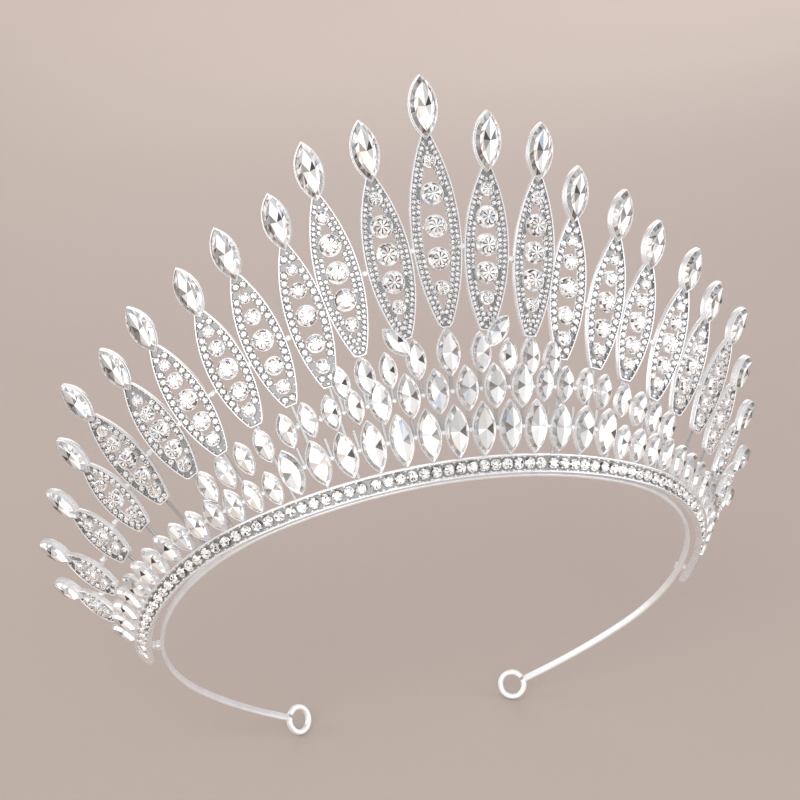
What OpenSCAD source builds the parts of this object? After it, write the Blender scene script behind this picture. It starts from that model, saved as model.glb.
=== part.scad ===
// Bridal tiara: a half-crown of 25 openwork petals on a stone-set base strip,
// with navette stones in rows above the strip and a springy headband that
// ends in two ring eyes. Modelled as it is worn: front towards -Y, +Z up,
// X = 0 is the mirror plane, the lowest point of the ring eyes is at Z = 0.

/* [View] */
// node to draw, or all

/* [Band] */
// radius of the front of the base strip
front_radius = 94.5; // [90:0.5:100]
// half of the arc length that has the front radius
front_half = 51.2; // [46:0.2:56]
// radius of the sides of the base strip
side_radius = 50.5; // [47:0.5:54]
// half of the whole length of the base strip
strip_half = 111; // [106:0.5:114]
// half of the length of the middle casting of the strip
centre_half = 22; // [18:0.5:26]
// angle between the petals and the plane of the band
slope = 50; // [44:0.5:56]
// how far the band plane is tipped up at the front when worn
wear_tilt = 60; // [50:0.5:66]
// fan of the petals towards the ends, degrees for 100 mm of strip
fan = 15; // [12:0.5:18]

/* [Base strip] */
// width of the base strip
strip_w = 4.5; // [4.2:0.1:4.8]
// thickness of the floor of the channel
strip_floor = 0.7; // [0.6:0.05:0.9]
// height of the two rims above the back
strip_rim = 1.75; // [1.6:0.05:1.9]
// thickness of each rim
strip_rim_t = 0.5; // [0.4:0.05:0.6]
// diameter of the round stones in the channel
channel_stone = 2.7; // [2.4:0.1:2.8]
// pitch of the round stones in the channel
channel_pitch = 2.85; // [2.82:0.01:3.0]
// play between two castings of the strip
strip_gap = 0.15; // [0.1:0.05:0.3]

/* [Headband] */
// thickness of the headband strip
band_t = 0.9; // [0.8:0.05:1.1]
// width of the headband strip
band_w = 2.0; // [1.8:0.1:2.2]
// half length of the headband that has the front radius
band_front = 45.2; // [43:0.2:47]
// radius of the headband at the temples
band_side_radius = 50.5; // [49:0.5:52]
// length of the headband arc at each temple
band_side = 89; // [86:0.5:92]
// radius of the free arms
arm_radius = 127; // [120:1:140]
// length of each free arm
arm_len = 34; // [30:0.5:38]
// outer diameter of the ring eyes
eye_outer = 8.6; // [8:0.1:9.2]
// bore of the ring eyes
eye_bore = 5.6; // [5.2:0.1:5.8]
// thickness of the ring eyes
eye_t = 1.5; // [1.4:0.05:1.7]
// turn of the ring eyes out of the upright
eye_turn = 25; // [10:1:35]
// opening left in each bent ring, degrees
eye_open = 14; // [8:1:20]

/* [Navette stones] */
// length of a large navette stone cup
nav_l = 11.6; // [11:0.1:12]
// width of a large navette stone cup
nav_w = 5.7; // [5.4:0.1:5.8]
// length of a small navette stone cup
nav_s_l = 8.9; // [8.5:0.1:9.2]
// width of a small navette stone cup
nav_s_w = 4.5; // [4.3:0.1:4.6]
// wall of the cups
cup_t = 0.35; // [0.3:0.05:0.45]
// height of the cup wall
cup_h = 1.7; // [1.5:0.1:2.0]
// height of a navette stone above its seat
nav_h = 2.1; // [1.8:0.1:2.4]

/* [Petals] */
// strip position of each petal from the middle outwards
petal_s = [0, 6, 15.3, 23.1, 30.2, 38, 46, 54, 62, 70, 79, 88.5, 98.5];
// sideways lean of each petal, degrees
petal_lean = [0, 4, 3.5, 2.6, 5.5, 6, 9, 8.3, 8.7, 7.5, 9, 15, 14];
// height of the tip of each petal above the strip's lower edge
petal_tip = [94.3, 85.7, 83.3, 73.8, 70.3, 65, 62, 56.6, 55.2, 46.5, 41, 38, 32.7];
// height of the lower end of each petal's openwork
petal_foot = [35.4, 34, 32.2, 27, 25.6, 24, 21.2, 19.5, 18, 16.2, 14.6, 13.2, 12];
// length of the middle petal's top stone
top_l = 15.2; // [14.6:0.1:15.6]
// how much shorter each next top stone is
top_step = 0.42; // [0.35:0.01:0.46]
// width of a top stone as a share of its length
top_ratio = 0.47; // [0.44:0.01:0.5]
// greatest width of each petal
petal_w = [12.1, 11.1, 10.6, 9.8, 10, 9.8, 9.5, 9.2, 9, 8.7, 8.4, 8, 7.6];
// how far a petal runs up under its top stone
under = 3.6; // [3:0.1:4.2]
// length cut off the lower point of each petal
foot_cut = 3; // [2.5:0.1:3.4]
// thickness of the petal plate
plate_t = 0.8; // [0.7:0.05:1.0]
// height of the outer rim of a petal
rim_h = 1.35; // [1.2:0.05:1.6]
// thickness of the outer rim of a petal
rim_t = 0.35; // [0.3:0.05:0.4]
// border width of the petals with two rows of small stones
border_2 = 2.8; // [2.75:0.05:2.9]
// border width of the petals with one row of stones
border_1 = 2.25; // [2.15:0.05:2.4]
// diameter of the smallest stones
pave_small = 1.15; // [1.05:0.05:1.2]
// diameter of the stones in a single row border
pave_large = 1.75; // [1.6:0.05:1.8]
// diameter of the largest round stones inside the petals
round_big = 5.0; // [4.8:0.1:5.1]

/* [Hidden] */
$fn = 64;
th1 = front_half / front_radius * 180 / PI;
band_off = band_t / 2 - 0.05;
band_z = 0.1;
band_r = front_radius - band_off;
bth1 = band_front / band_r * 180 / PI;
bth2 = bth1 + band_side / band_side_radius * 180 / PI;
bth3 = bth2 + arm_len / arm_radius * 180 / PI;
last = len(petal_s) - 1;

// direction of the strip at arc length s, degrees
function turn(s) = sign(s) * (abs(s) <= front_half ? abs(s) / front_radius
    : front_half / front_radius + (abs(s) - front_half) / side_radius) * 180 / PI;
// position of the strip's lower back edge at arc length s
function strip_x(s) = abs(s) <= front_half ? front_radius * sin(turn(s))
    : sign(s) * (front_radius * sin(th1)
        + side_radius * (sin(abs(turn(s))) - sin(th1)));
function strip_y(s) = abs(s) <= front_half ? front_radius * (1 - cos(turn(s)))
    : front_radius * (1 - cos(th1)) + side_radius * (cos(th1) - cos(abs(turn(s))));
// end of each stretch of the headband
function band_x2() = band_r * sin(bth1) + band_side_radius * (sin(bth2) - sin(bth1));
function band_y2() = band_off + band_r * (1 - cos(bth1))
    + band_side_radius * (cos(bth1) - cos(bth2));
function band_x3() = band_x2() + arm_radius * (sin(bth3) - sin(bth2));
function band_y3() = band_y2() + arm_radius * (cos(bth2) - cos(bth3));
eye_edge = 0.42;
eye_reach = eye_outer / 2 - eye_t / 2 + 0.35;
eye_x = band_x3() + eye_reach * cos(bth3);
eye_y = band_y3() + eye_reach * sin(bth3);
// widest, tip and border sizes of petal k
function tip_l(k) = top_l - top_step * k;
function wide(k) = petal_w[k];
function body_l(k) = petal_tip[k] - tip_l(k) - petal_foot[k] + under + foot_cut;
function body_c(k) = petal_foot[k] - foot_cut + body_l(k) / 2;
function border(k) = k <= 2 ? border_2 : border_1 - 0.03 * k;
// radius of the two arcs that make a pointed ellipse
function arc_r(l, w) = (l * l + w * w) / (4 * w);
// half width of a pointed ellipse at height y from its middle
function half_w(l, w, y) = sqrt(pow(arc_r(l, w), 2) - y * y) - arc_r(l, w) + w / 2;

// the whole piece is tipped as it is worn and set on Z = 0
function worn_y(y, z) = y * cos(wear_tilt) + z * sin(wear_tilt);
function worn_z(y, z) = -y * sin(wear_tilt) + z * cos(wear_tilt);
// axis of a ring eye and how far its rim reaches in a direction it makes angle a with
eye_ax_y = worn_y(-cos(eye_turn) * cos(bth3), sin(eye_turn));
eye_ax_z = worn_z(-cos(eye_turn) * cos(bth3), sin(eye_turn));
function ring_reach(n) = max(
    eye_outer / 2 * sqrt(1 - n * n) + (eye_t / 2 - eye_edge) * abs(n),
    (eye_outer / 2 - eye_edge) * sqrt(1 - n * n) + eye_t / 2 * abs(n));
lift = ring_reach(eye_ax_z) - worn_z(eye_y, band_z);
rear_y = worn_y(eye_y, band_z) + ring_reach(eye_ax_y);
front_y = worn_y(-strip_rim * sin(slope), -strip_rim * cos(slope));
back = (rear_y + front_y) / 2;

module worn() {
    translate([0, -back, lift])
        rotate([-wear_tilt, 0, 0])
            children();
}

// a place on the crown: arc length s, height h, sideways lean
module spot(s, h, lean) {
    translate([strip_x(s), strip_y(s), 0])
        rotate([0, 0, turn(s)])
            rotate([180 - slope, 0, 0])
                rotate([0, 0, -lean])
                    translate([0, h, 0])
                        children();
}

module pointed(l, w) {
    r = arc_r(l, w);
    intersection() {
        translate([r - w / 2, 0])
            circle(r, $fn = 180);
        translate([w / 2 - r, 0])
            circle(r, $fn = 180);
    }
}

// the same pointed ellipse, smaller by t all round
module pointed_in(l, w, t) {
    r = arc_r(l, w);
    intersection() {
        translate([r - w / 2, 0])
            circle(r - t, $fn = 180);
        translate([w / 2 - r, 0])
            circle(r - t, $fn = 180);
    }
}

// sweep of a strip profile round the middle or one side, profile in (height, depth)
module front_sweep(from, to) {
    translate([0, front_radius, 0])
        rotate([0, 0, from - 90])
            rotate_extrude(angle = to - from, $fn = 360)
                translate([front_radius, 0])
                    rotate(slope)
                        mirror([0, 1])
                            children();
}

module side_sweep(from, to) {
    translate([(front_radius - side_radius) * sin(th1),
            front_radius - (front_radius - side_radius) * cos(th1), 0])
        rotate([0, 0, from - 90])
            rotate_extrude(angle = to - from, $fn = 360)
                translate([side_radius, 0])
                    rotate(slope)
                        mirror([0, 1])
                            children();
}

module channel() {
    polygon([[0, 0], [strip_w, 0], [strip_w, strip_rim],
        [strip_w - strip_rim_t, strip_rim], [strip_w - strip_rim_t, strip_floor],
        [strip_rim_t, strip_floor], [strip_rim_t, strip_rim], [0, strip_rim]]);
}

module both(side) {
    mirror([side < 0 ? 1 : 0, 0, 0])
        children();
}

// headband ------------------------------------------------------------

module band_profile(r) {
    c = 0.25;
    translate([r, band_z])
        polygon([[-band_t / 2, c - band_w / 2], [c - band_t / 2, -band_w / 2],
            [band_t / 2 - c, -band_w / 2], [band_t / 2, c - band_w / 2],
            [band_t / 2, band_w / 2 - c], [band_t / 2 - c, band_w / 2],
            [c - band_t / 2, band_w / 2], [-band_t / 2, band_w / 2 - c]]);
}

module band_half() {
    translate([0, band_off + band_r, 0])
        rotate([0, 0, -90])
            rotate_extrude(angle = bth1, $fn = 360)
                band_profile(band_r);
    translate([(band_r - band_side_radius) * sin(bth1),
            band_off + band_r - (band_r - band_side_radius) * cos(bth1), 0])
        rotate([0, 0, bth1 - 90])
            rotate_extrude(angle = bth2 - bth1, $fn = 360)
                band_profile(band_side_radius);
    translate([band_x2() - arm_radius * sin(bth2), band_y2() + arm_radius * cos(bth2), 0])
        rotate([0, 0, bth2 - 90])
            rotate_extrude(angle = bth3 - bth2, $fn = 720)
                band_profile(arm_radius);
}

module headband() {
    color("silver")
        worn() {
            band_half();
            mirror([1, 0, 0])
                band_half();
        }
}

// ring bent from the end of the arm, with a short straight land in its bore
module ring_eye(side) {
    c = eye_edge;
    ro = eye_outer / 2;
    ri = eye_bore / 2;
    color("silver")
        worn()
            both(side)
                translate([eye_x, eye_y, band_z])
                    rotate([0, 0, bth3])
                        rotate([90 - eye_turn, 0, 0])
                            rotate([0, 0, 180])
                                rotate_extrude(angle = 360 - eye_open, $fn = 96)
                                    polygon([[ri, c - eye_t / 2], [ri + c, -eye_t / 2],
                                        [ro - c, -eye_t / 2], [ro, c - eye_t / 2],
                                        [ro, eye_t / 2 - c], [ro - c, eye_t / 2],
                                        [ri + c, eye_t / 2], [ri, eye_t / 2 - c]]);
}

module left_ring_eye() {
    ring_eye(-1);
}

module right_ring_eye() {
    ring_eye(1);
}

// tab that holds the headband off the end of the strip
module end_bracket(side) {
    s = strip_half - 5;
    color("silver")
        worn()
            both(side)
                translate([strip_x(s), strip_y(s), 0])
                    rotate([0, 0, turn(s)])
                        translate([-1.2, -0.25, 0.05])
                            difference() {
                                cube([2.4, 3.2, 1.9]);
                                translate([-1, -0.1, -0.1])
                                    cube([1.7, 1.2, 2.1]);
                            }
}

module left_end_bracket() {
    end_bracket(-1);
}

module right_end_bracket() {
    end_bracket(1);
}

// base strip ------------------------------------------------------------

module strip_centre() {
    a = (centre_half - strip_gap / 2) / front_radius * 180 / PI;
    color("gainsboro")
        worn()
            front_sweep(-a, a)
                channel();
}

module strip_wing(side) {
    a = (centre_half + strip_gap / 2) / front_radius * 180 / PI;
    color("gainsboro")
        worn()
            both(side) {
                front_sweep(a, th1)
                    channel();
                side_sweep(th1 + 0.05, turn(strip_half))
                    channel();
                // key inside the floor that joins the two curves
                spot(front_half, 0.6, 0)
                    translate([-0.5, 0, 0.12])
                        cube([1, strip_w - 1.2, 0.46]);
                // rounded tongue that closes the end of the channel
                spot(strip_half + 0.3, strip_w / 2, 0)
                    translate([0, 0, 0.06])
                        cylinder(h = strip_rim - 0.25, d = strip_w + 0.24);
            }
}

module strip_left() {
    strip_wing(-1);
}

module strip_right() {
    strip_wing(1);
}

module round_stone(d, seat) {
    translate([0, 0, seat])
        cylinder(h = d * 0.3, d1 = d, d2 = d * 0.62, $fn = 24);
}

module strip_stones(from, to) {
    color("white")
        worn()
            for (s = [from:channel_pitch:to])
                spot(s, strip_w / 2, 0)
                    round_stone(channel_stone, strip_floor);
}

module strip_stones_centre() {
    strip_stones(-7 * channel_pitch, 7 * channel_pitch + 0.1);
}

module strip_stones_right() {
    strip_stones(8 * channel_pitch + 0.6, strip_half - 2.5);
}

module strip_stones_left() {
    mirror([1, 0, 0])
        strip_stones_right();
}

// rows of navette stones ------------------------------------------------------------

// row 1 stands on the strip: large ones in front, small ones towards the ends
function row_1() = concat([for (i = [0:6]) 6 * i], [for (i = [0:13]) 41.2 + 4.72 * i]);
function row_1_h(s) = s < 20 ? 11 : s < 38 ? 10.8 : 8.9 - (s > 60 ? 0.012 * (s - 60) : 0);
// the seven cups in front are the longest, three each side follow, then the small ones
function row_1_size(s) = s < 20 ? 0 : s < 38 ? 1 : 2;
// row 2 sits in the gaps of row 1
function row_2() = [for (i = [0:10]) i < 3 ? 3 + 5.75 * i : i < 7 ? 19.4 + 4.65 * (i - 3)
    : 38.7 + 4.75 * (i - 7)];
function row_2_h(s) = s < 17 ? 20.8 : s < 30 ? 21.2 : 20.3 - 0.24 * (s - 33.4);
// row 3 carries the middle petals
function row_3() = [0, 6.2, 11.6, 16, 20.6];
function row_3_h(i) = [29.6, 28.9, 27.6, 27.4, 27.2][i];
function row_3_l(i) = [11.6, 10, 8.9, 10, 8.9][i];
// leaning stones between the middle petals
function aside() = [[9.9, 33.6, 36]];

module cup(l, w, floor_t = 0.5) {
    difference() {
        linear_extrude(height = cup_h)
            pointed(l, w);
        translate([0, 0, floor_t])
            linear_extrude(height = cup_h)
                pointed_in(l, w, cup_t);
    }
}

module navette(l, w, seat = 0.5) {
    translate([0, 0, seat])
        linear_extrude(height = nav_h * 0.62)
            pointed_in(l, w, cup_t);
    translate([0, 0, seat + nav_h * 0.6])
        linear_extrude(height = nav_h * 0.4)
            pointed_in(l, w, cup_t + w * 0.2);
}

module mirrored() {
    for (side = [0, 1])
        mirror([side, 0, 0])
            children();
}

module row_1_each() {
    for (s = row_1())
        if (s == 0)
            spot(0, row_1_h(0), 0)
                children(0);
        else
            mirrored()
                spot(s, row_1_h(s), s * fan / 100)
                    children(row_1_size(s));
}

module row_2_each() {
    for (s = row_2())
        mirrored()
            spot(s, row_2_h(s), s * fan / 100)
                children(s < 17 ? 0 : 1);
}

module row_3_each(stone) {
    for (i = [0:4])
        if (i == 0)
            spot(0, row_3_h(0), 0)
                piece_3(row_3_l(0), stone);
        else
            mirrored()
                spot(row_3()[i], row_3_h(i), row_3()[i] * fan / 100)
                    piece_3(row_3_l(i), stone);
    for (a = aside())
        mirrored()
            spot(a[0], a[1], 0)
                translate([0, 0, 0.9])
                    rotate([0, 0, -a[2]])
                        piece_3(9.2, stone);
}

module piece_3(l, stone) {
    if (stone)
        navette(l, l * 0.49);
    else
        cup(l, l * 0.49);
}

module cups_row_1() {
    color("lightgray")
        worn()
            row_1_each() {
                cup(nav_l + 1.4, nav_w + 0.1);
                cup(nav_l, nav_w);
                cup(nav_s_l, nav_s_w);
            }
}

module cups_row_2() {
    color("lightgray")
        worn()
            row_2_each() {
                cup(nav_l - 0.6, nav_w - 0.2);
                cup(nav_s_l, nav_s_w);
            }
}

module cups_row_3() {
    color("lightgray")
        worn()
            row_3_each(false);
}

module navettes_row_1() {
    color("white")
        worn()
            row_1_each() {
                navette(nav_l + 1.4, nav_w + 0.1);
                navette(nav_l, nav_w);
                navette(nav_s_l, nav_s_w);
            }
}

module navettes_row_2() {
    color("white")
        worn()
            row_2_each() {
                navette(nav_l - 0.6, nav_w - 0.2);
                navette(nav_s_l, nav_s_w);
            }
}

module navettes_row_3() {
    color("white")
        worn()
            row_3_each(true);
}

// beads between neighbours and short bars that tie row to row
module lattice_bars() {
    bar_w = 0.8;
    color("lightgray")
        worn() {
            for (i = [0:5])
                mirrored() {
                    spot(6 * i + 3, 11, (6 * i + 3) * fan / 100)
                        cylinder(h = 1.2, d = 1.3, $fn = 24);
                    spot(6 * i + 3, 11, (6 * i + 3) * fan / 100)
                        translate([-bar_w / 2, 0, 0])
                            cube([bar_w, 5, 0.45]);
                }
            for (i = [0:12])
                mirrored()
                    spot(43.56 + 4.72 * i, 8.7, (43.56 + 4.72 * i) * fan / 100)
                        cylinder(h = 1.2, d = 1.1, $fn = 24);
            bead_bar(0);
            for (s = [5.9, 11.7, 17, 21.7, 26.35, 31])
                mirrored()
                    bead_bar(s);
            for (k = [3:last])
                mirrored()
                    spot(petal_s[k], 0, petal_lean[k])
                        translate([-bar_w / 2, strip_w - 0.4, 0])
                            cube([bar_w, petal_foot[k] - strip_w + 1.6, 0.45]);
        }
}

module bead_bar(s) {
    spot(s, 20.4, s * fan / 100) {
        cylinder(h = 1.2, d = 1.2, $fn = 24);
        translate([-0.4, 0, 0])
            cube([0.8, s < 22 ? 5 : 1, 0.45]);
    }
}

// petals ------------------------------------------------------------

module petal(k) {
    l = body_l(k);
    w = wide(k);
    b = border(k);
    tl = tip_l(k);
    spot(petal_s[k], 0, petal_lean[k]) {
        // openwork plate with a raised outer rim
        translate([0, body_c(k), 0]) {
            difference() {
                union() {
                    linear_extrude(height = plate_t)
                        difference() {
                            pointed(l, w);
                            pointed_in(l, w, b);
                        }
                    linear_extrude(height = rim_h)
                        difference() {
                            pointed(l, w);
                            pointed_in(l, w, rim_t);
                        }
                }
                translate([-w / 2, -l / 2 - 1, -1])
                    cube([w, foot_cut + 1, 4]);
            }
            // stone seats in the column, joined to the border
            for (stone = column(k))
                translate([0, column_y(k, stone), 0]) {
                    translate([0, 0, 0.1])
                        difference() {
                            cylinder(h = 1.5, d = stone[1] + 0.5, $fn = 48);
                            translate([0, 0, 0.5])
                                cylinder(h = 2, d = stone[1], $fn = 48);
                        }
                    tie(k, stone);
                }
        }
        // stepped cup of the top stone
        translate([0, petal_tip[k] - tl / 2, 0]) {
            cup_top(tl, tl * top_ratio);
        }
    }
}

// bar under a round stone that reaches the border on both sides
module tie(k, stone) {
    reach = half_w(body_l(k), wide(k), column_y(k, stone)) - 0.8;
    translate([-reach, -0.35, 0])
        cube([2 * reach, 0.7, 0.55]);
}

module cup_top(l, w) {
    difference() {
        union() {
            linear_extrude(height = 1.2)
                pointed(l, w);
            linear_extrude(height = 2)
                pointed_in(l, w, 0.3);
        }
        translate([0, 0, 0.7])
            linear_extrude(height = 2)
                pointed_in(l, w, 0.6);
    }
}

// round stones inside petal k: height as a share of its length, diameter
function column(k) = k <= 2
    ? [[0.33, 3], [0.18, round_big], [0.03, round_big], [-0.12, round_big], [-0.255, 3]]
    : k <= 8
    ? [[0.295, 2.4], [0.17, 3.5], [0.015, round_big - 0.25], [-0.155, 4.1], [-0.295, 3.1]]
    : [[0.2, 2.9 - 0.2 * (k - 9)], [0, 4.2 - 0.3 * (k - 9)], [-0.2, 3 - 0.2 * (k - 9)]];
function column_y(k, stone) = body_l(k) * stone[0];
// true if a border stone of diameter d at x, y meets one of the round stones of petal k
function meets(k, x, y, d) = max([for (c = column(k))
    norm([x, y - column_y(k, c)]) < (c[1] + d) / 2 + 0.1 ? 1 : 0]) > 0;

module petal_part(k, side) {
    color("gainsboro")
        worn()
            both(side)
                petal(k);
}

// small bars with a bead between neighbouring petals
module petal_links() {
    color("silver")
        worn()
            for (k = [0:last - 1])
                mirrored()
                    link(k);
}

// length of the bar to the next petal, none where the borders meet
function link_l(k) = [1.8, 2.8, 0, 3.1, 1.8, 3.7, 2.1, 3.7, 3, 5.2, 7.2, 5.4][k];
function link_h(k) = (body_c(k) + body_c(k + 1)) / 2 - (k < 3 ? 1.2 : 2);

module link(k) {
    if (link_l(k) > 0)
        spot((petal_s[k] + petal_s[k + 1]) / 2, link_h(k), (petal_lean[k] + petal_lean[k + 1]) / 2)
            translate([0, 0, 0.05]) {
                translate([-link_l(k) / 2, -0.5, 0])
                    cube([link_l(k), 1, 0.7]);
                cylinder(h = 1.3, d = 1.5, $fn = 24);
            }
}

module top_navettes() {
    color("white")
        worn()
            for (k = [0:last])
                for (side = k == 0 ? [0] : [0, 1])
                    mirror([side, 0, 0])
                        spot(petal_s[k], petal_tip[k] - tip_l(k) / 2, petal_lean[k])
                            top_stone(tip_l(k), tip_l(k) * top_ratio);
}

module top_stone(l, w) {
    translate([0, 0, 0.7])
        linear_extrude(height = 1.6)
            pointed_in(l, w, 0.6);
    translate([0, 0, 2.2])
        linear_extrude(height = 1.2)
            pointed_in(l, w, 0.6 + w * 0.2);
}

module column_stones(big) {
    color("white")
        worn()
            for (k = [0:last])
                for (side = k == 0 ? [0] : [0, 1])
                    for (stone = column(k))
                        if ((stone[1] > 3.05) == big)
                            mirror([side, 0, 0])
                                spot(petal_s[k], body_c(k) + column_y(k, stone), petal_lean[k])
                                    round_stone(stone[1], 0.6);
}

module large_round_stones() {
    column_stones(true);
}

module small_round_stones() {
    column_stones(false);
}

// one row of border stones along both arcs of petal k, inset from its edge
module pave_row(k, inset, d, pitch) {
    l = body_l(k);
    w = wide(k);
    r = arc_r(l, w) - inset;
    c = arc_r(l, w) - w / 2;
    turn_1 = pitch / r * 180 / PI;
    n = floor(acos(c / r) / turn_1 - 0.35);
    for (i = [-n:n]) {
        x = r * cos(i * turn_1) - c;
        y = r * sin(i * turn_1);
        top_edge = l / 2 - under - 0.5;
        if (y > foot_cut - l / 2 + d / 2 && !meets(k, x, y, d)
                && (y < top_edge || x > d / 2 + (y - top_edge) * 0.55 + 0.5))
            for (side = [-1, 1])
                translate([side * x, y, 0])
                    round_stone(d, plate_t);
    }
}

module petal_pave(k) {
    translate([0, body_c(k), 0])
        if (k <= 2) {
            pave_row(k, rim_t + 0.6, pave_small, 1.26);
            pave_row(k, rim_t + 1.83, pave_small, 1.26);
        } else
            pave_row(k, rim_t + 0.92, pave_large - 0.02 * k, 1.9 - 0.02 * k);
}

module pave(from, to, side) {
    color("white")
        worn()
            both(side)
                for (k = [from:to])
                    spot(petal_s[k], 0, petal_lean[k])
                        petal_pave(k);
}

module pave_centre() {
    pave(0, 0, 1);
}

module pave_left_inner() {
    pave(1, 4, -1);
}

module pave_right_inner() {
    pave(1, 4, 1);
}

module pave_left_outer() {
    pave(5, last, -1);
}

module pave_right_outer() {
    pave(5, last, 1);
}

module petal_0() {
    petal_part(0, 1);
}

module petal_left_1() {
    petal_part(1, -1);
}

module petal_left_2() {
    petal_part(2, -1);
}

module petal_left_3() {
    petal_part(3, -1);
}

module petal_left_4() {
    petal_part(4, -1);
}

module petal_left_5() {
    petal_part(5, -1);
}

module petal_left_6() {
    petal_part(6, -1);
}

module petal_left_7() {
    petal_part(7, -1);
}

module petal_left_8() {
    petal_part(8, -1);
}

module petal_left_9() {
    petal_part(9, -1);
}

module petal_left_10() {
    petal_part(10, -1);
}

module petal_left_11() {
    petal_part(11, -1);
}

module petal_left_12() {
    petal_part(12, -1);
}

module petal_right_1() {
    petal_part(1, 1);
}

module petal_right_2() {
    petal_part(2, 1);
}

module petal_right_3() {
    petal_part(3, 1);
}

module petal_right_4() {
    petal_part(4, 1);
}

module petal_right_5() {
    petal_part(5, 1);
}

module petal_right_6() {
    petal_part(6, 1);
}

module petal_right_7() {
    petal_part(7, 1);
}

module petal_right_8() {
    petal_part(8, 1);
}

module petal_right_9() {
    petal_part(9, 1);
}

module petal_right_10() {
    petal_part(10, 1);
}

module petal_right_11() {
    petal_part(11, 1);
}

module petal_right_12() {
    petal_part(12, 1);
}

headband();
left_ring_eye();
right_ring_eye();
left_end_bracket();
right_end_bracket();
strip_centre();
strip_left();
strip_right();
strip_stones_centre();
strip_stones_left();
strip_stones_right();
cups_row_1();
cups_row_2();
cups_row_3();
lattice_bars();
navettes_row_1();
navettes_row_2();
navettes_row_3();
petal_links();
petal_0();
petal_left_1();
petal_left_2();
petal_left_3();
petal_left_4();
petal_left_5();
petal_left_6();
petal_left_7();
petal_left_8();
petal_left_9();
petal_left_10();
petal_left_11();
petal_left_12();
petal_right_1();
petal_right_2();
petal_right_3();
petal_right_4();
petal_right_5();
petal_right_6();
petal_right_7();
petal_right_8();
petal_right_9();
petal_right_10();
petal_right_11();
petal_right_12();
top_navettes();
large_round_stones();
small_round_stones();
pave_centre();
pave_left_inner();
pave_right_inner();
pave_left_outer();
pave_right_outer();
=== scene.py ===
"""Bridal tiara: the finished look of every piece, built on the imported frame."""

import math
import random

import bpy
import numpy as np
from bpy.props import FloatProperty, FloatVectorProperty, IntProperty, PointerProperty
from mathutils import Matrix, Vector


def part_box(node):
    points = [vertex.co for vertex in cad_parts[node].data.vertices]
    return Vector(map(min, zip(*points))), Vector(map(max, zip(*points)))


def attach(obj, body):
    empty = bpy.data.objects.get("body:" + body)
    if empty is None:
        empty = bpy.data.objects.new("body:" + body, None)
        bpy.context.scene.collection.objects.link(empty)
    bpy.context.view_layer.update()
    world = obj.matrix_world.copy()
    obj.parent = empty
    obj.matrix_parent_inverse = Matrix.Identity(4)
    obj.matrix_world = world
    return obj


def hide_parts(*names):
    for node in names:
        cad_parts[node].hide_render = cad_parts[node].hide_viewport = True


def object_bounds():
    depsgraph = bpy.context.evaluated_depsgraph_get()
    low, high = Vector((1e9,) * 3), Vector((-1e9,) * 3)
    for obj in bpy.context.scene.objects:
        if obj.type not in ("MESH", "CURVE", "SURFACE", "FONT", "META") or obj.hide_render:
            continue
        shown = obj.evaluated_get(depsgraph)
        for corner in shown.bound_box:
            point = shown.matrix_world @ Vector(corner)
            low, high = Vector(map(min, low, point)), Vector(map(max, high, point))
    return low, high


bl_info = {
    "name": "Bridal tiara",
    "version": (1, 0, 0),
    "blender": (4, 5, 0),
    "location": "View3D > Sidebar > Tiara",
    "description": "Builds a petal tiara with cut stones on its packed frame",
    "category": "Object",
}

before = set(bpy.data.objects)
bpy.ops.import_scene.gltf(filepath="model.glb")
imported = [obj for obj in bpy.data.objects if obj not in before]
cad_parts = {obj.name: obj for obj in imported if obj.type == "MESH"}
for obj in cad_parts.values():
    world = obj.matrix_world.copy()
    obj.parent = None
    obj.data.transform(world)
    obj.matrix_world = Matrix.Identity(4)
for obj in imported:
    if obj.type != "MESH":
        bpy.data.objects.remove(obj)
cad_box = [list(corner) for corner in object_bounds()]

MM = 0.001

# the band: arcs of the base strip and of the headband, in millimetres
FRONT_RADIUS, FRONT_HALF, SIDE_RADIUS, STRIP_HALF = 94.5, 51.2, 50.5, 111.0
CENTRE_HALF, STRIP_GAP = 22.0, 0.15
SLOPE, WEAR_TILT, FAN = math.radians(50), math.radians(60), 0.15
STRIP_W, STRIP_FLOOR, STRIP_RIM, STRIP_RIM_T = 4.5, 0.7, 1.75, 0.5
CHANNEL_STONE, CHANNEL_PITCH = 2.8, 2.85
BAND_T, BAND_W, BAND_FRONT, BAND_SIDE, ARM_RADIUS, ARM_LEN = 0.9, 2.0, 45.2, 89.0, 127.0, 34.0
BAND_SIDE_RADIUS, BAND_Z = 50.5, 0.1
EYE_OUTER, EYE_BORE, EYE_T, EYE_TURN, EYE_OPEN = 8.6, 5.6, 1.5, math.radians(25), 14

# stones above the strip
NAV_FRONT, NAV, NAV_S = (13.0, 5.8), (11.6, 5.7), (8.9, 4.5)
CUP_H = 1.7
# painted shade: darker tone painted on the metal in the recesses between the stones
PAINTED_RECESS_SHADE = 0.34
# painted shade: the thin bars behind the cups are darkened to read as in shadow
BAR_PAINTED_SHADE = 0.5

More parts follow.
